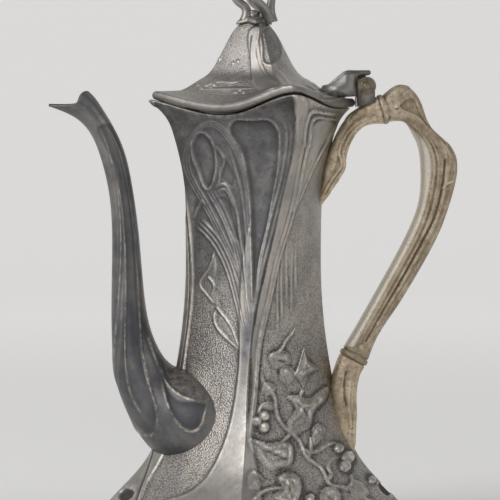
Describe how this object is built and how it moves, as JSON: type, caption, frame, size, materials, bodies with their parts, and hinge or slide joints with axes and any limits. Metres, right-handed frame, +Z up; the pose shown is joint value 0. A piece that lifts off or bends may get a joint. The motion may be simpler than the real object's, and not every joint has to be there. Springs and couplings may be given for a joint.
{
  "type": "coffee pot",
  "caption": "Four-sided flaring pewter coffee pot with tall curved spout, hinged pagoda lid with openwork finial, and a scrolled handle set between insulating rings.",
  "frame": {"origin": "centre of the foot on the table, under the body's axis", "axes": "+Z up, the spout points along -X, the handle along +X, the lid's hinge pin lies along Y"},
  "size_m": [0.2056, 0.158, 0.272],
  "materials": {
    "pewter": "cast pewter with a dark grey patina, worn bright on raised lines",
    "silver_gilt": "pale silver-gilt, brown in the hollows",
    "insulator": "turned heat-proof ring, toned to match the handle",
    "hinge_metal": "dulled white metal"
  },
  "bodies": {
    "pot": {"body_front": "pewter", "body_back": "pewter", "base_plate": "pewter", "spout": "pewter", "hinge_post": "pewter", "hinge_pin": "hinge_metal", "hinge_rosettes": "hinge_metal", "handle_upper_socket": "silver_gilt", "handle_upper_insulator": "insulator", "handle_upper_socket_pin": "silver_gilt", "handle_upper_grip_pin": "silver_gilt", "handle_grip": "silver_gilt", "handle_lower_insulator": "insulator", "handle_lower_socket_pin": "silver_gilt", "handle_lower_grip_pin": "silver_gilt", "handle_lower_socket": "silver_gilt"},
    "lid": {"lid_shell": "pewter", "lid_bezel": "pewter", "finial_base": "pewter", "finial_crown": "pewter", "finial_stud": "hinge_metal", "finial_washer": "hinge_metal", "finial_nut": "hinge_metal", "hinge_lid_leaf": "pewter"}
  },
  "joints": [
    {"name": "lid_hinge", "type": "hinge", "parent": "pot", "child": "lid", "pos_m": [0.056, 0, 0.216], "axis": [0, 1, 0], "range_deg": [0, 95]}
  ]
}
